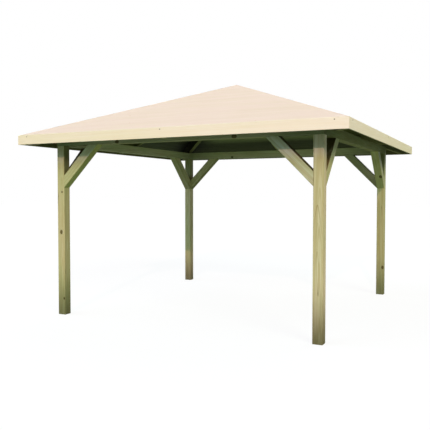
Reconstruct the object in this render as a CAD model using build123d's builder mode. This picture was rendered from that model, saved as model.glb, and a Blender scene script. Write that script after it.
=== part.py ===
"""Square timber gazebo: four braced corner posts, a ring of beams and a boarded pyramid roof."""
import math
import os

from build123d import *

# Driving dimensions, in millimetres and degrees
stock_width = 115.0         # posts, beams and braces are all of one square section
frame_width = 3670.0        # outer face to outer face of the corner posts, the same both ways
passage_height = 2280.0     # floor to the underside of the beams
brace_reach = 558.0         # post face to the brace's lower edge, along the beam and down the post
roof_overhang = 354.0       # outer face of the posts to the outer face of the fascia
roof_pitch = 21.1
board_thickness = 18.0
rafter_thickness = 48.0
rafter_depth = 135.0
rafter_heel = 16.0          # how far a rafter's notch drops below the top of the beam
hip_thickness = 65.0
hip_heel = 31.0             # the same drop of a hip rafter, at the corner of the frame
fascia_height = 120.0
fascia_thickness = 20.0
apex_block_width = 170.0    # across the flats of the eight-sided block that the rafters meet
apex_block_height = 200.0
apex_block_bevel = 15.0
timber_arris = 4.0          # bevel along the edges of the planed frame timber
board_arris = 2.0           # bevel along the outer edges of the fascia boards
lap_share = 0.5             # part of the beam's height that the lower half of a corner lap takes
cut_overrun = 60.0          # how far cutting shapes run past what they cut

# Heights and distances that follow from them
half_frame = frame_width / 2
half_roof = half_frame + roof_overhang
eave_line = half_roof - fascia_thickness
beam_top = passage_height + stock_width
slope = math.tan(math.radians(roof_pitch))
hip_slope = slope / math.sqrt(2)
board_drop = board_thickness / math.cos(math.radians(roof_pitch))
rafter_drop = rafter_depth / math.cos(math.radians(roof_pitch))
apex_height = beam_top - rafter_heel + rafter_drop + board_drop + slope * half_frame


def roof_top(distance):
    """Height of the boarding's upper face at a level distance from the middle."""
    return apex_height - slope * distance


def roof_under(distance):
    """Height of the boarding's lower face at a level distance from the middle."""
    return roof_top(distance) - board_drop


hip_drop = roof_under(half_frame) - beam_top + hip_heel
fascia_bottom = roof_top(half_roof) - fascia_height
block_flat = apex_block_width / 2
block_top = roof_under(block_flat)

# Each side has its outward direction and its direction to the right, seen from outside
SIDES = {
    "front": (Vector(0, -1, 0), Vector(1, 0, 0)),
    "right": (Vector(1, 0, 0), Vector(0, 1, 0)),
    "back": (Vector(0, 1, 0), Vector(-1, 0, 0)),
    "left": (Vector(-1, 0, 0), Vector(0, -1, 0)),
}
CORNERS = {
    "front_left": (-1, -1),
    "front_right": (1, -1),
    "back_right": (1, 1),
    "back_left": (-1, 1),
}
ENDS = {"left": -1, "right": 1}
UP = Vector(0, 0, 1)
CENTRE = Vector(0, 0, 0)


def face_plane(side):
    """Upright plane of a side's outer post faces: x to the right, y up, normal outward."""
    outward, along = SIDES[side]
    return Plane(origin=outward * half_frame, x_dir=along, z_dir=outward)


def section_plane(side):
    """Upright plane through the middle, across a side: x outward, y up."""
    outward, along = SIDES[side]
    return Plane(origin=CENTRE, x_dir=outward, z_dir=-along)


def plan_plane(side):
    """Level plane on the floor: x along a side, y inward."""
    return Plane(origin=CENTRE, x_dir=SIDES[side][1], z_dir=UP)


def save(piece, name):
    piece.label = name
    export_step(piece, f"parts/{name}.step")


def make_post(corner):
    middle = half_frame - stock_width / 2
    x_sign, y_sign = CORNERS[corner]
    with BuildPart() as post:
        with BuildSketch(Plane.XY):
            with Locations((x_sign * middle, y_sign * middle)):
                Rectangle(stock_width, stock_width)
        extrude(amount=passage_height)
        chamfer(post.edges().filter_by(Axis.Z), length=timber_arris)
    return post.part


def make_brace(side, end):
    """A diagonal strut, flush with the post's outer face, cut to the post and to the beam."""
    post_face = half_frame - stock_width
    upper_reach = brace_reach - stock_width * math.sqrt(2)
    sign = ENDS[end]
    outline = [
        (sign * post_face, passage_height - brace_reach),
        (sign * (post_face - brace_reach), passage_height),
        (sign * (post_face - upper_reach), passage_height),
        (sign * post_face, passage_height - upper_reach),
    ]
    along = SIDES[side][1]
    with BuildPart() as brace:
        with BuildSketch(face_plane(side)):
            with BuildLine():
                Polyline(*outline, close=True)
            make_face()
        extrude(amount=-stock_width)
        long_edges = brace.edges().filter_by(Axis(CENTRE, UP - along * sign))
        chamfer(long_edges, length=timber_arris)
    return brace.part


def make_beam(side):
    """A beam on two posts, halved at both ends over or under the beams that cross it."""
    lap_height = stock_width * lap_share
    carries_crossing = side in ("front", "back")
    lap_bottom = passage_height + lap_height if carries_crossing else passage_height - cut_overrun
    lap_top = beam_top + cut_overrun if carries_crossing else passage_height + lap_height
    with BuildPart() as beam:
        with BuildSketch(face_plane(side)):
            with Locations((0, passage_height + stock_width / 2)):
                Rectangle(frame_width, stock_width)
        extrude(amount=-stock_width)
        chamfer(beam.edges().filter_by(Axis(CENTRE, SIDES[side][1])), length=timber_arris)
        with BuildSketch(face_plane(side).offset(cut_overrun)):
            for sign in ENDS.values():
                with Locations((sign * half_frame, (lap_bottom + lap_top) / 2)):
                    Rectangle(stock_width * 2, lap_top - lap_bottom)
        extrude(amount=-(stock_width + 2 * cut_overrun), mode=Mode.SUBTRACT)
    return beam.part


def make_rafter_cutter():
    """What rafters are cut away by: the frame up to the beam tops, and all below the fascia."""
    cut_height = stock_width + cut_overrun
    with BuildPart() as cutter:
        with BuildSketch(Plane.XY.offset(beam_top)):
            Rectangle(frame_width, frame_width)
        extrude(amount=-cut_height)
        with BuildSketch(Plane.XY.offset(fascia_bottom)):
            Rectangle(2 * half_roof, 2 * half_roof)
        extrude(amount=-cut_height)
    return cutter.part


rafter_cutter = make_rafter_cutter()


def make_rafter(side):
    """The rafter up the middle of a side, from the fascia to the apex block."""
    outline = [
        (block_flat, roof_under(block_flat)),
        (eave_line, roof_under(eave_line)),
        (eave_line, roof_under(eave_line) - rafter_drop),
        (block_flat, roof_under(block_flat) - rafter_drop),
    ]
    with BuildPart() as rafter:
        with BuildSketch(section_plane(side)):
            with BuildLine():
                Polyline(*outline, close=True)
            make_face()
        extrude(amount=rafter_thickness / 2, both=True)
        add(rafter_cutter, mode=Mode.SUBTRACT)
    return rafter.part


def make_hip(corner):
    """A corner rafter: its top is backed to both slopes, and its tail comes to a point."""
    x_sign, y_sign = CORNERS[corner]
    outward = Vector(x_sign, y_sign, 0).normalized()
    start = block_flat / math.sqrt(2)
    half_thickness = hip_thickness / 2
    backing = hip_slope * half_thickness
    outline = [
        (0, 0),
        (half_thickness, -backing),
        (half_thickness, -hip_drop),
        (-half_thickness, -hip_drop),
        (-half_thickness, -backing),
    ]
    foot = Plane(
        origin=outward * block_flat + UP * roof_under(start),
        x_dir=UP.cross(outward),
        z_dir=outward,
    )
    length = half_roof * math.sqrt(2) * math.sqrt(1 + hip_slope**2)
    with BuildPart() as hip:
        with BuildSketch(foot):
            with BuildLine():
                Polyline(*outline, close=True)
            make_face()
        extrude(amount=length, dir=outward - UP * hip_slope)
        with BuildSketch(Plane.XY):
            Rectangle(2 * eave_line, 2 * eave_line)
        extrude(amount=apex_height, mode=Mode.INTERSECT)
        add(rafter_cutter, mode=Mode.SUBTRACT)
    return hip.part


def make_apex_block():
    """The eight-sided block that all eight rafters butt against, under the point of the roof."""
    with BuildPart() as block:
        with BuildSketch(Plane.XY.offset(block_top)):
            RegularPolygon(block_flat, 8, major_radius=False, rotation=360 / 16)
        extrude(amount=-apex_block_height)
        chamfer(block.faces().sort_by(Axis.Z)[0].edges(), length=apex_block_bevel)
    return block.part


def make_mitred(side, outline):
    """A piece that runs along one side and is mitred to its neighbours at both corners."""
    reach = half_roof + cut_overrun
    with BuildPart() as piece:
        with BuildSketch(section_plane(side)):
            with BuildLine():
                Polyline(*outline, close=True)
            make_face()
        extrude(amount=half_roof, both=True)
        with BuildSketch(plan_plane(side)):
            with BuildLine():
                Polyline(CENTRE, (-reach, -reach), (reach, -reach), close=True)
            make_face()
        extrude(amount=apex_height + cut_overrun, mode=Mode.INTERSECT)
    return piece.part


def make_roof_slope(side):
    """One triangle of roof boarding, from the fascia to the apex."""
    return make_mitred(side, [
        (0, roof_top(0)),
        (eave_line, roof_top(eave_line)),
        (eave_line, roof_under(eave_line)),
        (0, roof_under(0)),
    ])


def make_fascia(side):
    """The board round the eave, level with the boarding along its bevelled top."""
    return make_mitred(side, [
        (half_roof - board_arris, fascia_bottom),
        (half_roof, fascia_bottom + board_arris),
        (half_roof, roof_top(half_roof) - board_arris),
        (half_roof - board_arris, roof_top(half_roof - board_arris)),
        (eave_line, roof_top(eave_line)),
        (eave_line, fascia_bottom),
    ])


os.makedirs("parts", exist_ok=True)

for corner in CORNERS:
    save(make_post(corner), f"{corner}_post")
    save(make_hip(corner), f"{corner}_hip_rafter")

for side in SIDES:
    save(make_beam(side), f"{side}_beam")
    save(make_rafter(side), f"{side}_rafter")
    save(make_fascia(side), f"{side}_fascia")
    save(make_roof_slope(side), f"{side}_roof_slope")
    for end in ENDS:
        save(make_brace(side, end), f"{side}_brace_{end}")

save(make_apex_block(), "apex_block")
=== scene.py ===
"""Looks of the square timber gazebo: roof boards, fascia screws, pine, light and camera."""

import math
import random
from typing import NamedTuple

import bmesh
import bpy
from mathutils import Matrix, Vector


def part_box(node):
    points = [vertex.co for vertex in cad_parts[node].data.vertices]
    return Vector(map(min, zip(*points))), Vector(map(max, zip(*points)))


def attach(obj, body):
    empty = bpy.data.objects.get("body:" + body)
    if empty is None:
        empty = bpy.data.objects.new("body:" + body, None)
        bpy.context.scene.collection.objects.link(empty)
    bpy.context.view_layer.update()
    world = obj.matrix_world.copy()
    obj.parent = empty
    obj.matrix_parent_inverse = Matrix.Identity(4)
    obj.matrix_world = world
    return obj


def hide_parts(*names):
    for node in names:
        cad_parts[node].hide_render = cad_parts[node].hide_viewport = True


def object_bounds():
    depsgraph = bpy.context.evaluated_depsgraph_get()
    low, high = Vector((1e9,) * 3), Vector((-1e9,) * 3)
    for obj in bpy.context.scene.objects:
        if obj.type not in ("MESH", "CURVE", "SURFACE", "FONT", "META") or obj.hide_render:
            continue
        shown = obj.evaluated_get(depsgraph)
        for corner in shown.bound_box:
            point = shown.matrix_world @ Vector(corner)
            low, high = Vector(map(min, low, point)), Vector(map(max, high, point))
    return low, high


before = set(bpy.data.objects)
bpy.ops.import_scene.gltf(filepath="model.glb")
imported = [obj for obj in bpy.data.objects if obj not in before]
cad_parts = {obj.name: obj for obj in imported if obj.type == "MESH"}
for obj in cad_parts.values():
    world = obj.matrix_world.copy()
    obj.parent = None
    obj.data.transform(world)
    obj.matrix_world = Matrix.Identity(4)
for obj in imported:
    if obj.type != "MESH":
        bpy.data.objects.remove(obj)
cad_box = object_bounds()

# Directions: each side has its outward direction and its direction to the right, from outside
UP = Vector((0, 0, 1))
EAST = Vector((1, 0, 0))
SIDES = {
    "front": (Vector((0, -1, 0)), Vector((1, 0, 0))),
    "right": (Vector((1, 0, 0)), Vector((0, 1, 0))),
    "back": (Vector((0, 1, 0)), Vector((-1, 0, 0))),
    "left": (Vector((-1, 0, 0)), Vector((0, -1, 0))),
}
CORNERS = {
    "front_left": Vector((-1, -1, 0)).normalized(),
    "front_right": Vector((1, -1, 0)).normalized(),
    "back_right": Vector((1, 1, 0)).normalized(),
    "back_left": Vector((-1, 1, 0)).normalized(),
}
ENDS = {"left": -1, "right": 1}

# Places taken from the frame, in metres: faces by their distance from the middle, and heights
slope_low, slope_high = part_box("front_roof_slope")
fascia_low, fascia_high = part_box("front_fascia")
post_low, post_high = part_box("front_right_post")
beam_low, beam_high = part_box("front_beam")
EAVE = -slope_low.y
APEX_HEIGHT = slope_high.z
EAVE_TOP = fascia_high.z
FASCIA_FACE = -fascia_low.y
POST_FACE = post_high.x
POST_INNER = post_low.x
BEAM_UNDER = beam_low.z
BEAM_TOP = beam_high.z
BRACE_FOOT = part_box("front_brace_left")[0].z
PITCH = math.atan2(APEX_HEIGHT - EAVE_TOP, EAVE)
HIP_PITCH = math.atan(math.tan(PITCH) / math.sqrt(2))
SLOPE_LENGTH = EAVE / math.cos(PITCH)
BOARD_THICKNESS = (EAVE_TOP - slope_low.z) * math.cos(PITCH)


# Shader graphs
def srgb(red, green, blue):
    """A colour given as eight-bit values, as a linear RGBA colour."""
    def linear(value):
        share = value / 255
        return share / 12.92 if share <= 0.04045 else ((share + 0.055) / 1.055) ** 2.4
    return (linear(red), linear(green), linear(blue), 1.0)


class Graph:
    """A node tree with short calls for the nodes that the materials use."""

    def __init__(self, tree):
        self.tree = tree
        tree.nodes.clear()

    def feed(self, socket, value):
        if isinstance(value, bpy.types.NodeSocket):
            self.tree.links.new(value, socket)
        else:
            socket.default_value = value

    def node(self, kind, inputs=None, **settings):
        made = self.tree.nodes.new(kind)
        for key, value in settings.items():
            setattr(made, key, value)
        for key, value in (inputs or {}).items():
            self.feed(made.inputs[key], value)
        return made

    def maths(self, operation, *values):
        made = self.node("ShaderNodeMath", dict(enumerate(values)), operation=operation)
        return made.outputs[0]

    def vector(self, operation, *values):
        made = self.node("ShaderNodeVectorMath", dict(enumerate(values)), operation=operation)
        is_number = operation in ("LENGTH", "DOT_PRODUCT", "DISTANCE")
        return made.outputs["Value" if is_number else "Vector"]

    def parts(self, vector):
        """The outputs X, Y and Z of a vector."""
        return self.node("ShaderNodeSeparateXYZ", {"Vector": vector}).outputs

    def step(self, value, start, end, first=0.0, last=1.0):
        """A smooth change from first to last as value goes from start to end."""
        inputs = {"Value": value, "From Min": start, "From Max": end, "To Min": first, "To Max": last}
        made = self.node("ShaderNodeMapRange", inputs, interpolation_type="SMOOTHSTEP")
        return made.outputs["Result"]

    def noise(self, coordinates, scale, detail, output="Fac"):
        """Noise with one scale across the grain and another along it, in z."""
        across, along = scale
        stretched = self.vector("MULTIPLY", coordinates, (across, across, along))
        inputs = {"Vector": stretched, "Scale": 1.0, "Detail": detail}
        return self.node("ShaderNodeTexNoise", inputs).outputs[output]

    def blend(self, share, first, second, kind="MIX"):
        made = self.node("ShaderNodeMix", data_type="RGBA", blend_type=kind)
        self.feed(made.inputs["Factor"], share)
        colours = [socket for socket in made.inputs if socket.type == "RGBA"]
        self.feed(colours[0], first)
        self.feed(colours[1], second)
        return next(socket for socket in made.outputs if socket.type == "RGBA")

    def tint(self, share, colour, tint):
        """The colour, multiplied by a tint as far as share says."""
        return self.blend(share, colour, tint, "MULTIPLY")

    def place(self):
        """Where the surface is, in the frame."""
        return self.node("ShaderNodeTexCoord").outputs["Object"]

    def toward(self, direction):
        """How squarely the surface faces a direction, from -1 to 1."""
        normal = self.node("ShaderNodeNewGeometry").outputs["Normal"]
        return self.vector("DOT_PRODUCT", normal, direction)

    def facing(self, direction):
        """How squarely the surface faces a direction or its opposite, from 0 to 1."""
        return self.maths("ABSOLUTE", self.toward(direction))


def new_material(name):
    material = bpy.data.materials.new(name)
    material.use_nodes = True
    return material, Graph(material.node_tree)


# Kinds of pine
class Wood(NamedTuple):
    """One kind of pine: its colours, and how strong its marks are."""
    early: tuple
    late: tuple
    treated: tuple          # tint where the preservative shows most
    knot: tuple
    knot_rim: tuple
    knot_share: float       # part of the possible knots that are there
    knot_radius: float
    check_share: float      # how strongly drying cracks show
    band_strength: float


FRAME_PINE = Wood(
    early=srgb(212, 207, 168),
    late=srgb(185, 173, 126),
    treated=(0.88, 0.97, 0.86, 1.0),
    knot=srgb(80, 66, 28),
    knot_rim=srgb(70, 54, 28),
    knot_share=0.0,
    knot_radius=0.013,
    check_share=0.8,
    band_strength=0.9,
)
ROOF_PINE = FRAME_PINE._replace(
    early=srgb(190, 184, 146),
    late=srgb(160, 148, 106),
    knot_share=0.35,
    check_share=0.3,
)
PALE_PINE = Wood(
    early=srgb(249, 235, 223),
    late=srgb(242, 224, 202),
    treated=(0.98, 0.99, 0.95, 1.0),
    knot=srgb(214, 172, 122),
    knot_rim=srgb(178, 132, 88),
    knot_share=0.0,
    knot_radius=0.009,
    check_share=0.0,
    band_strength=0.6,
)
BOARD_PINE = PALE_PINE._replace(
    early=srgb(238, 219, 209),
    late=srgb(232, 210, 196),
    knot=srgb(226, 192, 158),
    knot_rim=srgb(204, 166, 132),
    knot_share=0.12,
)

# Noise: how fine it is, and scales across and along the grain, in cycles to the metre
PLAIN_DETAIL = 1.0
SOFT_DETAIL = 2.0
FINE_DETAIL = 3.0
RICH_DETAIL = 4.0
NOISE_MIDDLE = 0.5
WOBBLE_SCALE = (7.0, 1.3)
FIBRE_SCALE = (420.0, 12.0)
STREAK_SCALE = (60.0, 1.6)
PATCH_SCALE = (6.0, 1.1)
SPLIT_SCALE = (17.0, 0.4)
SPLIT_PLACE_SCALE = (9.0, 1.2)

# Growth rings, in metres, and ranges within one ring
RING_WIDTH = 0.0048
RING_TAPER = 0.011          # how far the rings move out for each metre along the trunk
RING_WOBBLE = 0.012         # how far the rings stray from true circles
BAND_RINGS = 3              # rings in a band of rich or lean years
LATE_RISE = (0.25, 0.85)
LATE_FALL = (1.0, 0.9)

# Tone between early and late wood, as weights of the marks and the range that they cover
LATE_WEIGHT = 0.42
FIBRE_WEIGHT = 0.5
STREAK_WEIGHT = 1.1
TONE_SHIFT = -0.25
TONE_BELOW = 0.45
TONE_ABOVE = 0.85
TREATED_RANGE = (0.38, 0.66)

# Knots, in metres, and ranges as multiples of a knot's radius
KNOT_CELL = 0.16
KNOT_STRETCH_SHARE = 0.72
KNOT_LEAST_SHARE = 0.5      # radius of the smallest chance knot, as a share of the usual radius
KNOT_NONE = 100.0           # added to the distance where a cell has no knot
KNOT_PULL = 0.010           # how far a knot bends the rings
KNOT_PULL_RANGE = (3.4, 0.5)
RIM_RISE = (0.7, 0.98)
RIM_FALL = (1.5, 1.0)
RIM_STRENGTH = 0.7
CORE_RANGE = (1.06, 0.86)
CORE_RINGS = 17.0
CORE_RING_STRENGTH = 0.12
CORE_STRENGTH = 0.86

# Drying cracks, as ranges of their noise
CRACK_RANGE = (0.006, 0.0015)
CRACK_PLACE_RANGE = (0.54, 0.62)

# Relief and gloss
LATE_HEIGHT = 0.35
FIBRE_HEIGHT = 0.5
CORE_HEIGHT = 0.25
CRACK_HEIGHT = -2.0
BUMP_STRENGTH = 0.5
BUMP_DEPTH = 0.0009
ROUGHNESS_LEAST = 0.65
ROUGHNESS_SPREAD = 0.25
SPECULAR = 0.05


class Knot(NamedTuple):
    """A knot at a known place of one timber."""
    place: Vector
    radius: float


def knot_ratio(graph, grain, wood, knots):
    """Distance to the nearest knot, as a multiple of that knot's radius."""
    squeezed = graph.vector("MULTIPLY", grain, (1.0, 1.0, KNOT_STRETCH_SHARE))
    cells = graph.node("ShaderNodeTexVoronoi", {"Vector": squeezed, "Scale": 1 / KNOT_CELL})
    draws = graph.node("ShaderNodeSeparateColor", {"Color": cells.outputs["Color"]})
    least = wood.knot_radius * KNOT_LEAST_SHARE
    radius = graph.maths("MULTIPLY_ADD", draws.outputs[1], wood.knot_radius, least)
    metres = graph.maths("MULTIPLY", cells.outputs["Distance"], KNOT_CELL)
    ratio = graph.maths("DIVIDE", metres, radius)
    absent = graph.maths("GREATER_THAN", draws.outputs[0], wood.knot_share)
    ratio = graph.maths("MULTIPLY_ADD", absent, KNOT_NONE, ratio)
    for place, knot_radius in knots:
        point = (place.x, place.y, place.z * KNOT_STRETCH_SHARE)
        distance = graph.vector("DISTANCE", squeezed, point)
        ratio = graph.maths("MINIMUM", ratio, graph.maths("DIVIDE", distance, knot_radius))
    return ratio


def ring_marks(graph, grain, pull):
    """Dark late wood in each growth ring, and broad bands of rich and lean years."""
    wobble = graph.noise(grain, WOBBLE_SCALE, SOFT_DETAIL, "Color")
    wobble = graph.vector("SUBTRACT", wobble, (NOISE_MIDDLE,) * 3)
    bent = graph.vector("MULTIPLY_ADD", wobble, (RING_WOBBLE,) * 3, grain)
    from_pith = graph.vector("LENGTH", graph.vector("MULTIPLY", bent, (1.0, 1.0, 0.0)))
    growth = graph.maths("MULTIPLY_ADD", graph.parts(bent)["Z"], RING_TAPER, from_pith)
    growth = graph.maths("MULTIPLY_ADD", pull, KNOT_PULL, growth)
    ring = graph.maths("FRACT", graph.maths("DIVIDE", growth, RING_WIDTH))
    late = graph.maths("MULTIPLY", graph.step(ring, *LATE_RISE), graph.step(ring, *LATE_FALL))
    band = graph.maths("DIVIDE", growth, RING_WIDTH * BAND_RINGS)
    inputs = {"W": band, "Scale": 1.0, "Detail": PLAIN_DETAIL}
    years = graph.node("ShaderNodeTexNoise", inputs, noise_dimensions="1D").outputs["Fac"]
    return late, years


def draw_knots(graph, colour, ratio, wood):
    """Colours the knots and their rims, and also gives the share of each knot's core."""
    core = graph.step(ratio, *CORE_RANGE)
    core_rings = graph.maths("SINE", graph.maths("MULTIPLY", ratio, CORE_RINGS))
    core_tone = graph.maths("MULTIPLY_ADD", core_rings, CORE_RING_STRENGTH, CORE_STRENGTH)
    colour = graph.blend(graph.maths("MULTIPLY", core, core_tone), colour, wood.knot)
    rim = graph.maths("MULTIPLY", graph.step(ratio, *RIM_RISE), graph.step(ratio, *RIM_FALL))
    return graph.blend(graph.maths("MULTIPLY", rim, RIM_STRENGTH), colour, wood.knot_rim), core


def draw_cracks(graph, colour, grain, wood):
    """Draws fine drying cracks along the grain, and also gives their share."""
    split = graph.noise(grain, SPLIT_SCALE, PLAIN_DETAIL)
    split = graph.maths("ABSOLUTE", graph.maths("SUBTRACT", split, NOISE_MIDDLE))
    there = graph.step(graph.noise(grain, SPLIT_PLACE_SCALE, PLAIN_DETAIL), *CRACK_PLACE_RANGE)
    crack = graph.maths("MULTIPLY", graph.step(split, *CRACK_RANGE), there)
    crack = graph.maths("MULTIPLY", crack, wood.check_share)
    return graph.blend(crack, colour, wood.knot_rim), crack


def pine(graph, grain, wood, knots=()):
    """Colour, height and roughness of planed pine; grain coordinates run along the wood in z."""
    ratio = knot_ratio(graph, grain, wood, knots)
    late, years = ring_marks(graph, grain, graph.step(ratio, *KNOT_PULL_RANGE))
    fibre = graph.noise(grain, FIBRE_SCALE, FINE_DETAIL)
    streak = graph.noise(grain, STREAK_SCALE, FINE_DETAIL)

    tone = graph.maths("MULTIPLY", late, LATE_WEIGHT)
    tone = graph.maths("MULTIPLY_ADD", years, wood.band_strength, tone)
    tone = graph.maths("MULTIPLY_ADD", fibre, FIBRE_WEIGHT, tone)
    tone = graph.maths("MULTIPLY_ADD", streak, STREAK_WEIGHT, tone)
    middle = (wood.band_strength + FIBRE_WEIGHT + STREAK_WEIGHT) / 2 + TONE_SHIFT
    tone = graph.step(tone, middle - TONE_BELOW, middle + TONE_ABOVE)
    colour = graph.blend(tone, wood.early, wood.late)
    patch = graph.noise(grain, PATCH_SCALE, SOFT_DETAIL)
    colour = graph.tint(graph.step(patch, *TREATED_RANGE), colour, wood.treated)
    colour, core = draw_knots(graph, colour, ratio, wood)
    colour, crack = draw_cracks(graph, colour, grain, wood)

    height = graph.maths("MULTIPLY", late, LATE_HEIGHT)
    height = graph.maths("MULTIPLY_ADD", fibre, FIBRE_HEIGHT, height)
    height = graph.maths("MULTIPLY_ADD", core, CORE_HEIGHT, height)
    height = graph.maths("MULTIPLY_ADD", crack, CRACK_HEIGHT, height)
    roughness = graph.maths("MULTIPLY_ADD", fibre, ROUGHNESS_SPREAD, ROUGHNESS_LEAST)
    return colour, height, roughness


def surface(graph, colour, height, roughness):
    """Matt planed wood with the given colour, height and roughness."""
    relief = {"Height": height, "Strength": BUMP_STRENGTH, "Distance": BUMP_DEPTH}
    shader = graph.node(
        "ShaderNodeBsdfPrincipled",
        {
            "Base Color": colour,
            "Roughness": roughness,
            "Specular IOR Level": SPECULAR,
            "Normal": graph.node("ShaderNodeBump", relief).outputs["Normal"],
        },
    )
    output = graph.node("ShaderNodeOutputMaterial")
    graph.feed(output.inputs["Surface"], shader.outputs["BSDF"])


# How squarely a face has to look a given way: where an effect starts, and where it is full
FLAT_FACE = (0.8, 0.95)
END_FACE = (0.6, 0.9)
BEVEL_FACE = (0.25, 0.45)
TOP_FACE = (0.3, 0.6)
UNDER_FACE = (-0.3, -0.6)
FLAT_UNDER_FACE = (-0.8, -0.95)
BACK_FACE = (-0.5, -0.9)
BOARD_UNDER_FACE = (0.1, -0.3)
UPRIGHT_FACE = (0.5, 0.2)
NOOK_FACE = (0.2, 0.6)
EAVE_SHADE_FACE = (0.3, 1.2)   # times the distance from the middle, in metres

# End grain and worn edges
END_GRAIN_TINT = (0.70, 0.66, 0.58, 1.0)
ARRIS_COLOUR = srgb(222, 212, 166)
ARRIS_WEAR = 0.12


def wear_edges(graph, colour, axis, across):
    """Darkens the end grain, and rubs the bevels along the edges pale."""
    colour = graph.tint(graph.step(graph.facing(axis), *END_FACE), colour, END_GRAIN_TINT)
    bevel = graph.maths("MULTIPLY", graph.facing(across), graph.facing(axis.cross(across)))
    worn = graph.maths("MULTIPLY", graph.step(bevel, *BEVEL_FACE), ARRIS_WEAR)
    return graph.blend(worn, colour, ARRIS_COLOUR)


# Arched grain, in metres
class Arch(NamedTuple):
    """Arched lines on the front of a post, where the saw ran across the growth rings."""
    middle: float
    top: float
    spread: float           # half width at one metre below the top
    length: float
    strength: float


GRAIN_ARCHES = {
    "front_right_post": [
        Arch(POST_FACE - 0.065, 1.525, 0.115, 0.46, 0.9),
        Arch(POST_FACE - 0.063, 1.330, 0.080, 0.30, 0.3),
        Arch(POST_FACE - 0.066, 1.020, 0.075, 0.34, 0.5),
    ],
}
ARCH_TINT = (0.66, 0.60, 0.48, 1.0)
ARCH_WIDTH = 0.008
ARCH_POWER = 0.75
ARCH_WAVE = 0.008
ARCH_WAVE_SCALE = (30.0, 6.0)
ARCH_TIP = 0.004            # how far below its top an arch is at its full strength


def draw_arches(graph, colour, place, arches):
    """Draws the arched lines on the front of a post."""
    parts = graph.parts(place)
    front = graph.step(graph.facing(SIDES["front"][0]), *FLAT_FACE)
    wave = graph.noise(place, ARCH_WAVE_SCALE, SOFT_DETAIL)
    wave = graph.maths("SUBTRACT", wave, NOISE_MIDDLE)
    for arch in arches:
        below = graph.maths("MAXIMUM", graph.maths("SUBTRACT", arch.top, parts["Z"]), 0.0)
        half = graph.maths("MULTIPLY", graph.maths("POWER", below, ARCH_POWER), arch.spread)
        half = graph.maths("MULTIPLY_ADD", wave, ARCH_WAVE, half)
        aside = graph.maths("ABSOLUTE", graph.maths("SUBTRACT", parts["X"], arch.middle))
        off = graph.maths("ABSOLUTE", graph.maths("SUBTRACT", aside, half))
        line = graph.maths("MULTIPLY", graph.step(off, ARCH_WIDTH, 0.0), front)
        line = graph.maths("MULTIPLY", line, graph.step(below, arch.length, 0.0))
        line = graph.maths("MULTIPLY", line, graph.step(below, 0.0, ARCH_TIP, 0.0, arch.strength))
        colour = graph.tint(line, colour, ARCH_TINT)
    return colour


# Painted shade on the frame timber under the eaves
EAVE_SHADE_TINT = (1.03, 1.07, 1.36, 1.0)
EAVE_SHADE_DROP = 0.27         # where it starts, below the beams
EAVE_SHADE_FADE = 0.11
EAVE_SHADE_UNEVEN = 0.06
EAVE_SHADE_SCALE = (20.0, 3.0)


def paint_eave_shade(graph, colour, place, grain):
    """Painted shade: a bluer tint on the outer faces of the frame above the line of the eaves' shadow.
    """
    uneven = graph.noise(grain, EAVE_SHADE_SCALE, FINE_DETAIL)
    level = graph.maths("MULTIPLY_ADD", uneven, EAVE_SHADE_UNEVEN, graph.parts(place)["Z"])
    start = BEAM_UNDER - EAVE_SHADE_DROP + EAVE_SHADE_UNEVEN / 2
    shaded = graph.step(level, start, start + EAVE_SHADE_FADE)
    from_middle = graph.vector("MULTIPLY", place, (1.0, 1.0, 0.0))
    outer = graph.step(graph.toward(from_middle), *EAVE_SHADE_FACE)
    return graph.tint(graph.maths("MULTIPLY", shaded, outer), colour, EAVE_SHADE_TINT)


# Posts: painted shade and dirt at the foot, painted shade behind the braces, painted light and shade on
# the right faces
FOOT_TINTS = {
    "front_left": (0.31, 0.33, 0.31, 1.0),
    "front_right": (0.21, 0.23, 0.17, 1.0),
    "back_right": (0.40, 0.41, 0.44, 1.0),
    "back_left": (0.32, 0.30, 0.35, 1.0),
}
FOOT_TOP = 0.75
FOOT_BOTTOM = -0.10
FOOT_UNEVEN = 0.16
FOOT_SCALE = (28.0, 4.0)
NOOK_SHADE_TINT = (0.58, 0.62, 0.58, 1.0)
NOOK_RISE = 0.078           # where it starts, above the foot of the braces
NOOK_FADE = 0.07
CREVICE_SHADE_TINT = (0.40, 0.32, 0.24, 1.0)
CREVICE_RISE = 0.178        # how high the darkest part reaches above the foot of the braces
CREVICE_FADE = 0.11
# Painted light and shade on the faces of the posts that look right
RIGHT_FACE_LIGHT_TINTS = {
    "front_left": (0.87, 0.87, 0.89, 1.0),
    "front_right": (1.18, 1.15, 1.22, 1.0),
    "back_right": (1.17, 1.14, 1.14, 1.0),
    "back_left": (1.22, 1.22, 1.38, 1.0),
}


def darken_foot(graph, colour, place, grain, tint):
    """Darkens the foot of a post: painted shade from the ground close by, with some splashed dirt."""
    uneven = graph.noise(grain, FOOT_SCALE, RICH_DETAIL)
    level = graph.maths("MULTIPLY_ADD", uneven, FOOT_UNEVEN, graph.parts(place)["Z"])
    foot_shade_and_dirt = graph.step(level, FOOT_TOP + FOOT_UNEVEN / 2, FOOT_BOTTOM + FOOT_UNEVEN / 2)
    return graph.tint(foot_shade_and_dirt, colour, tint)


def shade_nook(graph, colour, place, outward):
    """Painted shade on the inner faces of a post behind the braces, darkest in the crevice at their
    foot.
    """
    inner = graph.step(graph.toward(-outward), *NOOK_FACE)
    height = graph.parts(place)["Z"]
    start = BRACE_FOOT + NOOK_RISE
    high = graph.step(height, start, start + NOOK_FADE)
    crevice_end = BRACE_FOOT + CREVICE_RISE
    past_crevice = graph.step(height, crevice_end, crevice_end + CREVICE_FADE)
    tint = graph.blend(past_crevice, CREVICE_SHADE_TINT, NOOK_SHADE_TINT)
    return graph.tint(graph.maths("MULTIPLY", inner, high), colour, tint)


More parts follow.
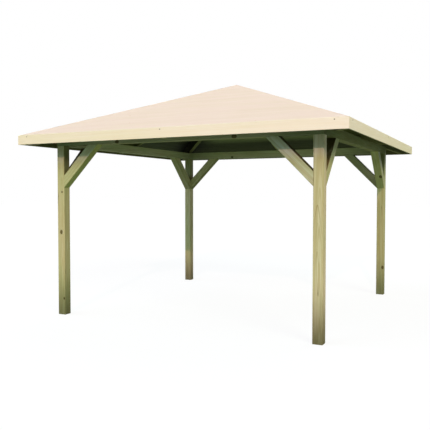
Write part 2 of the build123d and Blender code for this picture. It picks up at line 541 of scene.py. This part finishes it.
def paint_post_shade_and_dirt(graph, colour, place, grain, corner):
    """Painted shade and dirt at the foot, painted shade behind the braces, and painted light and shade
    on the right face.
    """
    colour = darken_foot(graph, colour, place, grain, FOOT_TINTS[corner])
    colour = shade_nook(graph, colour, place, CORNERS[corner])
    rightward = graph.step(graph.toward(EAST), *FLAT_FACE)
    return graph.tint(rightward, colour, RIGHT_FACE_LIGHT_TINTS[corner])


# Braces: darker upper faces in patches, and painted shade underneath
TOP_PATCH_TINT = (0.24, 0.19, 0.13, 1.0)
TOP_PATCH_SCALE = (30.0, 8.0)
TOP_PATCH_RANGE = (0.25, 0.5)
TOP_PATCH_LEAST = 0.75
BRACE_UNDER_TINT = (0.93, 0.97, 0.76, 1.0)
BRACE_UNDER_TINTS = {
    "front_brace_left": (0.86, 0.86, 0.69, 1.0),
    "left_brace_left": (0.64, 0.64, 0.60, 1.0),
    "back_brace_right": (0.44, 0.46, 0.36, 1.0),
}


def darken_under(graph, colour, tint):
    """Darkens the underside of a beam or brace, which the sun never reaches."""
    return graph.tint(graph.step(graph.toward(UP), *UNDER_FACE), colour, tint)


def paint_brace_top_and_shade(graph, colour, grain, name):
    """A darker upper face in patches, and painted shade on the underside."""
    uneven = graph.noise(grain, TOP_PATCH_SCALE, FINE_DETAIL)
    cover = graph.step(uneven, *TOP_PATCH_RANGE, TOP_PATCH_LEAST, 1.0)
    dark_top = graph.maths("MULTIPLY", graph.step(graph.toward(UP), *TOP_FACE), cover)
    colour = graph.tint(dark_top, colour, TOP_PATCH_TINT)
    return darken_under(graph, colour, BRACE_UNDER_TINTS.get(name, BRACE_UNDER_TINT))


# Beams: painted shade underneath and towards the corners
BEAM_UNDER_TINT = (0.62, 0.66, 0.58, 1.0)
BEAM_CORNER_SHADE_TINT = (0.68, 0.72, 0.70, 1.0)
BEAM_END_LENGTH = 0.72      # where it starts, from the inner faces of the posts
BEAM_END_FADE = 0.70


def paint_beam_shade(graph, colour, place, axis):
    """Painted shade on the underside and towards the corners."""
    colour = darken_under(graph, colour, BEAM_UNDER_TINT)
    along = graph.maths("ABSOLUTE", graph.vector("DOT_PRODUCT", place, axis))
    start = POST_INNER - BEAM_END_LENGTH
    near_corner = graph.step(along, start, start + BEAM_END_FADE)
    return graph.tint(near_corner, colour, BEAM_CORNER_SHADE_TINT)


# Hip rafters: painted shade on their sides
HIP_SIDE_SHADE_TINT = (0.20, 0.20, 0.22, 1.0)
HIP_SIDE_SHADE_TINTS = {
    "back_right": (0.80, 0.80, 1.0, 1.0),
    "back_left": (0.16, 0.16, 0.18, 1.0),
}


def paint_hip_shade(graph, colour, corner):
    """Painted shade on the upright sides of a hip rafter, close under the boards."""
    upright = graph.step(graph.facing(UP), *UPRIGHT_FACE)
    return graph.tint(upright, colour, HIP_SIDE_SHADE_TINTS.get(corner, HIP_SIDE_SHADE_TINT))


# Fascias: tone along the board, and painted shade inside and underneath
FASCIA_NEAR_TINT = (1.015, 1.0, 1.03, 1.0)
FASCIA_FAR_TINT = (0.935, 0.95, 0.90, 1.0)
FASCIA_INSIDE_SHADE_TINT = (0.17, 0.19, 0.11, 1.0)


def paint_fascia_tone_and_shade(graph, colour, place, outward):
    """Pale pink turning to pale yellow away from the front right corner; dark green inside and
    underneath, the treated wood's colour with painted shade.
    """
    corner = CORNERS["front_right"] * FASCIA_FACE * math.sqrt(2) + UP * EAVE_TOP
    away = graph.step(graph.vector("DISTANCE", place, corner), 0.0, 2 * FASCIA_FACE)
    colour = graph.tint(1.0, colour, graph.blend(away, FASCIA_NEAR_TINT, FASCIA_FAR_TINT))
    inside = graph.step(graph.toward(outward), *BACK_FACE)
    under = graph.step(graph.toward(UP), *FLAT_UNDER_FACE)
    return graph.tint(graph.maths("MAXIMUM", inside, under), colour, FASCIA_INSIDE_SHADE_TINT)


# Tints of single timbers, partly their own tone and partly painted light and shade; the rest differ by
# chance, by no more than the spread
TIMBER_TONE_AND_SHADE_TINTS = {
    "front_left_post": (0.90, 0.875, 0.87),
    "front_right_post": (1.08, 0.98, 1.15),
    "back_right_post": (0.75, 0.78, 0.75),
    "back_left_post": (1.02, 0.97, 0.98),
    "front_brace_left": (0.81, 0.89, 0.82),
    "front_brace_right": (0.88, 0.89, 1.07),
    "left_brace_left": (1.0, 1.0, 1.1),
    "back_brace_right": (1.04, 1.06, 1.14),
    "back_brace_left": (0.91, 0.92, 1.14),
    "right_brace_right": (0.88, 0.89, 1.04),
    "front_beam": (0.69, 0.71, 0.70),
    "right_beam": (0.49, 0.53, 0.39),
    "back_beam": (1.02, 1.06, 1.32),
    "left_beam": (0.95, 0.98, 1.22),
    "left_rafter": (0.45, 0.50, 0.40),
    "right_rafter": (0.50, 0.55, 0.45),
    "back_left_hip_rafter": (0.34, 0.38, 0.32),
    "back_right_hip_rafter": (0.50, 0.55, 0.45),
    "front_right_hip_rafter": (0.50, 0.55, 0.45),
}
TONE_SPREAD = 0.06


def front_face(x, height):
    """A place on the front face of the front posts and beam."""
    return Vector((x, -POST_FACE, height))


def back_inner_face(x, height):
    """A place on the face of the back posts and beam that looks to the front."""
    return Vector((x, POST_INNER, height))


# Knots at their places on the faces, with their radii, in metres
KNOTS = {
    "front_left_post": [
        Knot(front_face(-POST_FACE + 0.077, 1.662), 0.010),
        Knot(front_face(-POST_FACE + 0.061, 1.121), 0.018),
        Knot(front_face(-POST_FACE + 0.099, 0.222), 0.011),
    ],
    "back_right_post": [Knot(back_inner_face(POST_FACE - 0.013, 0.443), 0.017)],
    "right_brace_right": [
        Knot(Vector((POST_FACE - 0.026, POST_INNER - 0.184, BRACE_FOOT + 0.184)), 0.020),
    ],
    "front_beam": [
        Knot(front_face(-0.853, BEAM_UNDER + 0.021), 0.018),
        Knot(front_face(0.784, BEAM_UNDER + 0.019), 0.020),
    ],
    "back_beam": [Knot(back_inner_face(-0.857, BEAM_UNDER + 0.018), 0.015)],
}

# How far the middle of the tree may lie from the middle of a piece, in metres
POST_PITH = 0.03
BRACE_PITH = 0.05
BEAM_PITH = 0.04
RAFTER_PITH = 0.06
FASCIA_PITH = 0.09
BLOCK_PITH = 0.02
PITH_LEAST_SHARE = 0.3
TRUNK_REACH = 40.0          # how far along the grain a piece's pattern may be taken
TIMBER_SEED = 11


class Timber(NamedTuple):
    """How the grain lies in one piece of wood: along its axis, with one direction across it."""
    axis: Vector
    across: Vector
    wood: Wood
    pith_reach: float


def list_timbers():
    """The grain of every CAD node that is shown as it is."""
    timbers = {}
    for corner, outward in CORNERS.items():
        down_hip = outward * math.cos(HIP_PITCH) - UP * math.sin(HIP_PITCH)
        timbers[f"{corner}_post"] = Timber(UP, EAST, FRAME_PINE, POST_PITH)
        timbers[f"{corner}_hip_rafter"] = Timber(down_hip, UP.cross(outward), ROOF_PINE, RAFTER_PITH)
    for side, (outward, along) in SIDES.items():
        down_slope = outward * math.cos(PITCH) - UP * math.sin(PITCH)
        timbers[f"{side}_beam"] = Timber(along, outward, FRAME_PINE, BEAM_PITH)
        timbers[f"{side}_rafter"] = Timber(down_slope, along, ROOF_PINE, RAFTER_PITH)
        timbers[f"{side}_fascia"] = Timber(along, outward, PALE_PINE, FASCIA_PITH)
        for end, sign in ENDS.items():
            timbers[f"{side}_brace_{end}"] = Timber(UP - along * sign, outward, FRAME_PINE, BRACE_PITH)
    timbers["apex_block"] = Timber(UP, EAST, ROOF_PINE, BLOCK_PITH)
    return timbers


def tinted(wood, tint):
    """The same pine with its plain colours multiplied by a tint."""
    def times(colour):
        return (*(channel * share for channel, share in zip(colour, tint)), 1.0)
    return wood._replace(early=times(wood.early), late=times(wood.late))


def paint_marks_and_shade(graph, colour, place, grain, name, timber):
    """Adds grain arches, painted light and shade, and dirt to one timber, by the kind of piece that it
    is.
    """
    if name in GRAIN_ARCHES:
        colour = draw_arches(graph, colour, place, GRAIN_ARCHES[name])
    if timber.wood is FRAME_PINE:
        colour = paint_eave_shade(graph, colour, place, grain)
    if name.endswith("_post"):
        colour = paint_post_shade_and_dirt(graph, colour, place, grain, name.removesuffix("_post"))
    elif "_brace_" in name:
        colour = paint_brace_top_and_shade(graph, colour, grain, name)
    elif name.endswith("_beam"):
        colour = paint_beam_shade(graph, colour, place, timber.axis)
    elif name.endswith("_hip_rafter"):
        colour = paint_hip_shade(graph, colour, name.removesuffix("_hip_rafter"))
    elif name.endswith("_fascia"):
        colour = paint_fascia_tone_and_shade(graph, colour, place, SIDES[name.removesuffix("_fascia")][0])
    return colour


def timber_material(name, timber, draws):
    """Pine for one CAD node, with the grain along the piece and its knots at their places."""
    material, graph = new_material(f"{name}_pine")
    low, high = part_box(name)
    axis = timber.axis.normalized()
    across = timber.across.normalized()
    turn = Matrix((across, axis.cross(across), axis)).transposed()
    angle = draws.uniform(0, 2 * math.pi)
    reach = timber.pith_reach * draws.uniform(PITH_LEAST_SHARE, 1.0)
    along = draws.uniform(-TRUNK_REACH, TRUNK_REACH)
    shift = Vector((reach * math.cos(angle), reach * math.sin(angle), along))
    origin = (low + high) / 2 - turn @ shift
    tone = draws.uniform(1 - TONE_SPREAD, 1 + TONE_SPREAD)
    wood = tinted(timber.wood, TIMBER_TONE_AND_SHADE_TINTS.get(name, (tone, tone, tone)))

    place = graph.place()
    mapping = {"Vector": place, "Location": origin, "Rotation": turn.to_euler()}
    grain = graph.node("ShaderNodeMapping", mapping, vector_type="TEXTURE").outputs["Vector"]
    knots = [
        Knot(turn.transposed() @ (knot.place - origin), knot.radius)
        for knot in KNOTS.get(name, ())
    ]
    colour, height, roughness = pine(graph, grain, wood, knots)
    colour = wear_edges(graph, colour, axis, across)
    colour = paint_marks_and_shade(graph, colour, place, grain, name, timber)
    surface(graph, colour, height, roughness)
    return material


def dress_timbers():
    """Gives every CAD node that is shown its own pine."""
    draws = random.Random(TIMBER_SEED)
    for name, timber in list_timbers().items():
        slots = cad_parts[name].data.materials
        material = timber_material(name, timber, draws)
        slots.clear()
        slots.append(material)


def add_piece(name, mesh_builder, material):
    """A new piece of the object, which rides on the frame."""
    mesh = bpy.data.meshes.new(name)
    mesh_builder.to_mesh(mesh)
    mesh_builder.free()
    mesh.materials.append(material)
    piece = bpy.data.objects.new(name, mesh)
    bpy.context.scene.collection.objects.link(piece)
    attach(piece, "root")
    return piece


# Roof boards, in metres
BOARD_COVER = 0.107         # width of one board up the slope, before it is fitted to a whole number
BOARD_COUNT = round(SLOPE_LENGTH / BOARD_COVER)
BOARD_EASE = 0.0006         # bevel along the upper edges
BOARD_JOINT = 0.004         # bevel along the lower edges, which makes the V joints of the ceiling
BOARD_PITH_ASIDE = 0.03     # how far the middle of the tree may lie to the side of a board
BOARD_PITH_DEPTHS = (0.03, 0.09)
MITRE_GAP = 0.0004          # half the gap where two slopes meet along a hip
APEX_CUT = 0.0015           # how far short of the middle the top board ends
BOARD_SEED = 23

# Tints of the boards: on top from board to board, and underneath painted shade by place
BOARD_TONE_TINT = (0.98, 0.975, 0.965, 1.0)
CEILING_SHADE_TINT = (0.26, 0.36, 0.21, 1.0)
CEILING_SHADE_TINTS = {"left": (0.12, 0.17, 0.09, 1.0)}
CEILING_RISE = 0.135        # where the ceiling starts inside the soffit, above the beams
CEILING_FADE = 0.09
SOFFIT_SHADE_TINTS = {
    "front": (0.09, 0.12, 0.08, 1.0),
    "right": (0.06, 0.08, 0.045, 1.0),
    "back": (0.085, 0.117, 0.07, 1.0),
    "left": (0.065, 0.10, 0.045, 1.0),
}
HIP_SHADE_TINT = (0.08, 0.08, 0.10, 1.0)
HIP_REACH = 0.45            # how far from a hip the boards are darker underneath


def board_profile(index, width):
    """Cross-section of a roof board, as places up the slope and out from the upper face."""
    lower = index * width
    upper = lower + width
    ease = BOARD_EASE
    joint = BOARD_JOINT
    under = -BOARD_THICKNESS
    outline = [
        (upper - ease, 0.0),
        (upper, -ease),
        (upper, under + joint),
        (upper - joint, under),
    ]
    if index == 0:
        outline += [(under * math.tan(PITCH), under), (0.0, 0.0)]
    else:
        outline += [(lower + joint, under), (lower, under + joint), (lower, -ease), (lower + ease, 0.0)]
    return outline


def roof_point(up_slope, out):
    """A point of the boards' cross-section: place up the slope, distance from the middle, height."""
    reach = EAVE - up_slope * math.cos(PITCH) + out * math.sin(PITCH)
    if reach < APEX_CUT:
        up_slope = (EAVE + out * math.sin(PITCH) - APEX_CUT) / math.cos(PITCH)
        reach = APEX_CUT
    return up_slope, reach, EAVE_TOP + up_slope * math.sin(PITCH) + out * math.cos(PITCH)


def add_roof_boards(side, material, draws):
    """The boards of one slope, laid from the fascia to the apex and mitred along the hips."""
    outward, along = SIDES[side]
    width = SLOPE_LENGTH / BOARD_COUNT
    builder = bmesh.new()
    grain_layer = builder.verts.layers.float_vector.new("grain")
    tone_layer = builder.verts.layers.float.new("board_tone")
    for index in range(BOARD_COUNT):
        pith_side = draws.uniform(-BOARD_PITH_ASIDE, BOARD_PITH_ASIDE)
        pith_depth = draws.choice((-1, 1)) * draws.uniform(*BOARD_PITH_DEPTHS)
        pith_along = draws.uniform(-TRUNK_REACH, TRUNK_REACH)
        tone = draws.uniform(0, 1)
        middle = (index + 0.5) * width
        rows = {-1: [], 1: []}
        for up_slope, out in board_profile(index, width):
            up_slope, reach, height = roof_point(up_slope, out)
            for sign, row in rows.items():
                run = sign * (reach - MITRE_GAP)
                vert = builder.verts.new(outward * reach + along * run + UP * height)
                across = up_slope - middle
                vert[grain_layer] = Vector((across + pith_side, out + pith_depth, run + pith_along))
                vert[tone_layer] = tone
                row.append(vert)
        builder.faces.new(rows[-1])
        builder.faces.new(reversed(rows[1]))
        count = len(rows[1])
        for here in range(count):
            there = (here + 1) % count
            builder.faces.new((rows[-1][there], rows[-1][here], rows[1][here], rows[1][there]))
    bmesh.ops.recalc_face_normals(builder, faces=builder.faces)
    piece = add_piece(f"{side}_roof_boards", builder, material)
    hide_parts(f"{side}_roof_slope")


def roof_board_material(side):
    """Pale pine on top of the boards, and painted shade underneath: dark green, darker in the soffits
    and along the hips.
    """
    material, graph = new_material(f"{side}_roof_board_pine")
    grain = graph.node("ShaderNodeAttribute", attribute_name="grain").outputs["Vector"]
    board_tone = graph.node("ShaderNodeAttribute", attribute_name="board_tone").outputs["Fac"]
    colour, height, roughness = pine(graph, grain, BOARD_PINE)
    colour = graph.tint(board_tone, colour, BOARD_TONE_TINT)
    place = graph.place()
    start = BEAM_TOP + CEILING_RISE
    inner = graph.step(graph.parts(place)["Z"], start, start + CEILING_FADE)
    green = graph.blend(inner, SOFFIT_SHADE_TINTS[side], CEILING_SHADE_TINTS.get(side, CEILING_SHADE_TINT))
    level = graph.parts(graph.vector("ABSOLUTE", place))
    off_hip = graph.maths("ABSOLUTE", graph.maths("SUBTRACT", level["X"], level["Y"]))
    near_hip = graph.step(off_hip, HIP_REACH * math.sqrt(2), 0.0)
    green = graph.tint(near_hip, green, HIP_SHADE_TINT)
    colour = graph.tint(graph.step(graph.toward(UP), *BOARD_UNDER_FACE), colour, green)
    surface(graph, colour, height, roughness)
    return material


# Fascia screws, in metres
SCREW_INSET = 0.149         # the outer screws, from the ends of the fascia
SCREW_PLACES = (SCREW_INSET - FASCIA_FACE, 0.0, FASCIA_FACE - SCREW_INSET)
SCREW_DROP = 0.028          # below the top of the fascia
SCREW_RADIUS = 0.0065
SCREW_PROUD = 0.0018
SCREW_DEPTH = 0.004
RECESS_RADIUS = 0.0026
RECESS_DEPTH = 0.0022
RECESS_LOBES = 6
RECESS_LOBE_SHARE = 0.16
SCREW_SEGMENTS = 36

# Rings of a screw head from its hidden root to the bottom of its recess, as shares of its sizes
ROOT_SHARE = 0.6
RIM_HEIGHT_SHARE = 0.45
DOME_SHARE = 0.8
DOME_HEIGHT_SHARE = 0.85
CROWN_SHARE = 0.55
RECESS_TAPER_SHARE = 0.9


class Ring(NamedTuple):
    """One ring of a screw head: its radius, its height over the fascia, and how far its lobes go."""
    radius: float
    out: float
    lobe_share: float = 0.0


SCREW_RINGS = (
    Ring(SCREW_RADIUS * ROOT_SHARE, -SCREW_DEPTH),
    Ring(SCREW_RADIUS, 0.0),
    Ring(SCREW_RADIUS, SCREW_PROUD * RIM_HEIGHT_SHARE),
    Ring(SCREW_RADIUS * DOME_SHARE, SCREW_PROUD * DOME_HEIGHT_SHARE),
    Ring(SCREW_RADIUS * CROWN_SHARE, SCREW_PROUD),
    Ring(RECESS_RADIUS, SCREW_PROUD, RECESS_LOBE_SHARE),
    Ring(RECESS_RADIUS * RECESS_TAPER_SHARE, SCREW_PROUD - RECESS_DEPTH, RECESS_LOBE_SHARE),
)

# Screw steel
STEEL_COLOUR = srgb(112, 106, 92)
STEEL_METALLIC = 0.85
STEEL_ROUGHNESS = 0.45
STEEL_GRAIN_SCALE = (900.0, 900.0)
STEEL_BUMP_STRENGTH = 0.3
STEEL_BUMP_DEPTH = 0.0003
RUST_COLOUR = srgb(104, 72, 40)
RUST_METALLIC = 0.10
RUST_ROUGHNESS = 0.70
RUST_SCALE = (260.0, 260.0)
RUST_RANGE = (0.42, 0.62)


def screw_ring(builder, centre, outward, along, ring):
    """The vertices of one ring of a screw head."""
    verts = []
    for index in range(SCREW_SEGMENTS):
        angle = 2 * math.pi * index / SCREW_SEGMENTS
        reach = ring.radius * (1 + ring.lobe_share * math.cos(RECESS_LOBES * angle))
        spot = centre + along * reach * math.cos(angle) + UP * reach * math.sin(angle)
        verts.append(builder.verts.new(spot + outward * ring.out))
    return verts


def add_fascia_screws(side, material):
    """The screws that hold one fascia board, one at its middle and one near each end."""
    outward, along = SIDES[side]
    builder = bmesh.new()
    for place in SCREW_PLACES:
        centre = outward * FASCIA_FACE + along * place + UP * (EAVE_TOP - SCREW_DROP)
        rings = [screw_ring(builder, centre, outward, along, ring) for ring in SCREW_RINGS]
        for inner, outer in zip(rings, rings[1:]):
            for here in range(SCREW_SEGMENTS):
                there = (here + 1) % SCREW_SEGMENTS
                builder.faces.new((inner[here], inner[there], outer[there], outer[here]))
        builder.faces.new(rings[0])
        builder.faces.new(rings[-1])
    bmesh.ops.recalc_face_normals(builder, faces=builder.faces)
    add_piece(f"{side}_fascia_screws", builder, material)


def screw_material():
    """Dull galvanised steel with brown weathering."""
    material, graph = new_material("screw_steel")
    place = graph.place()
    fine = graph.noise(place, STEEL_GRAIN_SCALE, FINE_DETAIL)
    rust = graph.step(graph.noise(place, RUST_SCALE, FINE_DETAIL), *RUST_RANGE)
    relief = {"Height": fine, "Strength": STEEL_BUMP_STRENGTH, "Distance": STEEL_BUMP_DEPTH}
    less_metal = RUST_METALLIC - STEEL_METALLIC
    more_rough = RUST_ROUGHNESS - STEEL_ROUGHNESS
    shader = graph.node(
        "ShaderNodeBsdfPrincipled",
        {
            "Base Color": graph.blend(rust, STEEL_COLOUR, RUST_COLOUR),
            "Metallic": graph.maths("MULTIPLY_ADD", rust, less_metal, STEEL_METALLIC),
            "Roughness": graph.maths("MULTIPLY_ADD", rust, more_rough, STEEL_ROUGHNESS),
            "Normal": graph.node("ShaderNodeBump", relief).outputs["Normal"],
        },
    )
    output = graph.node("ShaderNodeOutputMaterial")
    graph.feed(output.inputs["Surface"], shader.outputs["BSDF"])
    return material


def dress_roof():
    """Lays the boards of the four slopes and puts the screws in the fascias."""
    draws = random.Random(BOARD_SEED)
    steel = screw_material()
    for side in SIDES:
        add_roof_boards(side, roof_board_material(side), draws)
        add_fascia_screws(side, steel)


# Light and stage
class Lamp(NamedTuple):
    """A far lamp: where it stands, in degrees, how wide it looks, and its light."""
    right_of_front: float
    above_horizon: float
    width: float
    strength: float
    colour: tuple


LAMPS = {
    "sun": Lamp(16.7, 22.9, 1, 1.25, (1.0, 0.64, 0.56)),
    "right_haze": Lamp(50, 27, 28, 1.92, (0.88, 1.0, 0.79)),
    "left_haze": Lamp(-55, 30, 70, 2.35, (0.66, 0.84, 1.0)),
    "back_haze": Lamp(180, 30, 90, 1.4, (0.94, 0.98, 1.0)),
}
FILL_COLOUR = (0.80, 0.97, 1.0, 1.0)
FILL_STRENGTH = 0.05
WHITE = (1.0, 1.0, 1.0, 1.0)
FLOOR_SIZE = 120.0
FLOOR_DROP = 0.0005
FLOOR_GLOW = 0.88
FLOOR_SHADOW = (0.15, 0.15, 0.15, 1.0)
FLOOR_BOUNCE = (0.33, 0.40, 0.26, 1.0)


def seen_directly(graph):
    """One for what the camera sees, straight or in gloss and glass, and zero for other light."""
    path = graph.node("ShaderNodeLightPath").outputs
    seen = graph.maths("MAXIMUM", path["Is Camera Ray"], path["Is Glossy Ray"])
    return graph.maths("MAXIMUM", seen, path["Is Transmission Ray"])


def mix_shaders(graph, share, first, second):
    return graph.node("ShaderNodeMixShader", {0: share, 1: first.outputs[0], 2: second.outputs[0]})


def add_world():
    """A white background, and a soft sky that fills the shade."""
    world = bpy.data.worlds.new("studio")
    world.use_nodes = True
    bpy.context.scene.world = world
    graph = Graph(world.node_tree)
    fill = graph.node("ShaderNodeBackground", {"Color": FILL_COLOUR, "Strength": FILL_STRENGTH})
    white = graph.node("ShaderNodeBackground", {"Color": WHITE, "Strength": 1.0})
    mixed = mix_shaders(graph, seen_directly(graph), fill, white)
    output = graph.node("ShaderNodeOutputWorld")
    graph.feed(output.inputs["Surface"], mixed.outputs[0])


def floor_material():
    """Looks pale and keeps the shadow, is clear from below, and throws green light back."""
    material, graph = new_material("floor")
    glow = graph.node("ShaderNodeEmission", {"Color": WHITE, "Strength": FLOOR_GLOW})
    shadow = graph.node("ShaderNodeBsdfDiffuse", {"Color": FLOOR_SHADOW})
    pale = graph.node("ShaderNodeAddShader", {0: glow.outputs[0], 1: shadow.outputs[0]})
    bounce = graph.node("ShaderNodeBsdfDiffuse", {"Color": FLOOR_BOUNCE})
    shown = mix_shaders(graph, seen_directly(graph), bounce, pale)
    below = graph.node("ShaderNodeNewGeometry").outputs["Backfacing"]
    sided = mix_shaders(graph, below, shown, graph.node("ShaderNodeBsdfTransparent"))
    output = graph.node("ShaderNodeOutputMaterial")
    graph.feed(output.inputs["Surface"], sided.outputs[0])
    return material


def add_floor():
    """A plain floor, just under the feet of the posts."""
    builder = bmesh.new()
    bmesh.ops.create_grid(builder, x_segments=1, y_segments=1, size=FLOOR_SIZE / 2)
    mesh = bpy.data.meshes.new("floor")
    builder.to_mesh(mesh)
    builder.free()
    mesh.materials.append(floor_material())
    floor = bpy.data.objects.new("floor", mesh)
    floor.location.z = cad_box[0].z - FLOOR_DROP
    bpy.context.scene.collection.objects.link(floor)


def add_lamps():
    """A low sun at the front right, and wide soft lamps on both sides and behind."""
    for name, lamp in LAMPS.items():
        data = bpy.data.lights.new(name, "SUN")
        data.energy = lamp.strength
        data.angle = math.radians(lamp.width)
        data.color = lamp.colour
        turn = math.radians(lamp.right_of_front)
        rise = math.radians(lamp.above_horizon)
        level = Vector((math.sin(turn), -math.cos(turn), 0)) * math.cos(rise)
        towards = level + UP * math.sin(rise)
        shown = bpy.data.objects.new(name, data)
        shown.rotation_euler = towards.to_track_quat("Z", "Y").to_euler()
        bpy.context.scene.collection.objects.link(shown)


# Camera: metres, degrees and millimetres, with the shift as a share of the picture's width
CAMERA_PLACE = (3.5717, -8.0213, 1.6515)
CAMERA_DIP = 2.1072
CAMERA_TURN = 26.8622
CAMERA_SENSOR = 36.0
CAMERA_LENS = 49.179
CAMERA_SHIFT = (0.01790, -0.00139)


def add_camera():
    """The photographer's place and lens, fitted to the photo."""
    data = bpy.data.cameras.new("camera")
    data.sensor_width = CAMERA_SENSOR
    data.lens = CAMERA_LENS
    data.shift_x, data.shift_y = CAMERA_SHIFT
    camera = bpy.data.objects.new("camera", data)
    camera.location = CAMERA_PLACE
    camera.rotation_euler = (math.radians(90 - CAMERA_DIP), 0.0, math.radians(CAMERA_TURN))
    bpy.context.scene.collection.objects.link(camera)
    bpy.context.scene.camera = camera


dress_timbers()
dress_roof()
add_world()
add_floor()
add_lamps()
add_camera()
bpy.context.scene.view_settings.view_transform = "Standard"
